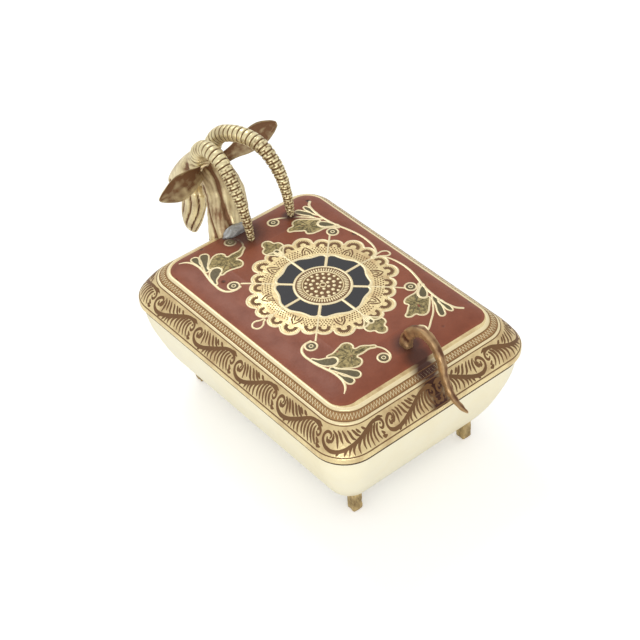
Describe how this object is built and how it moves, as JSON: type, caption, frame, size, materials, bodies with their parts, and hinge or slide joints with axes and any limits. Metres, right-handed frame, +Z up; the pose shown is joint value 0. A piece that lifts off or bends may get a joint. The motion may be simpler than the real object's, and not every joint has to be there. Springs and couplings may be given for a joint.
{
  "type": "hinged trinket box",
  "caption": "Footed brass trinket box with an engraved, enamelled lid on a back hinge, a cast goat head at the back and a curled tail as the front lift.",
  "frame": {"origin": "on the table, under the middle of the whole length from the tail tip to the nose", "axes": "+Z up, +Y towards the hinge and the goat head, the tail lift at -Y, +X to the right as seen from the lift end"},
  "size_m": [0.0738, 0.1378, 0.0729],
  "materials": {
    "tub_brass": "polished",
    "strip_brass": "satin",
    "foot_brass": "satin, aged",
    "hinge_brass": "satin",
    "lid_brass": "engraved, satin",
    "red_enamel": "satin",
    "dark_enamel": "satin",
    "medallion_brass": "engraved",
    "tail_brass": "satin, aged",
    "solder": "dull",
    "head_brass": "cast, aged"
  },
  "bodies": {
    "base": {"base_tub": "tub_brass", "locating_strip": "strip_brass", "foot_front_left": "foot_brass", "foot_front_right": "foot_brass", "foot_back_left": "foot_brass", "foot_back_right": "foot_brass", "hinge_leaf_base": "hinge_brass", "hinge_pin": "hinge_brass"},
    "lid": {"lid_shell": "lid_brass", "enamel_field": "red_enamel", "enamel_cell_1": "dark_enamel", "enamel_cell_2": "dark_enamel", "enamel_cell_3": "dark_enamel", "enamel_cell_4": "dark_enamel", "enamel_cell_5": "dark_enamel", "enamel_cell_6": "dark_enamel", "enamel_cell_7": "dark_enamel", "enamel_cell_8": "dark_enamel", "rosette_medallion": "medallion_brass", "hinge_leaf_lid": "hinge_brass", "goat_head": "head_brass", "horn_left": "head_brass", "horn_right": "head_brass", "ear_left": "head_brass", "ear_right": "head_brass", "tail_lift": "tail_brass", "solder_neck": "solder", "solder_tail": "solder", "solder_horn_right": "solder"}
  },
  "joints": [
    {"name": "lid_hinge", "type": "hinge", "parent": "base", "child": "lid", "pos_m": [0, 0.0415, 0.034], "axis": [-1, 0, 0], "range_deg": [0, 75]}
  ]
}
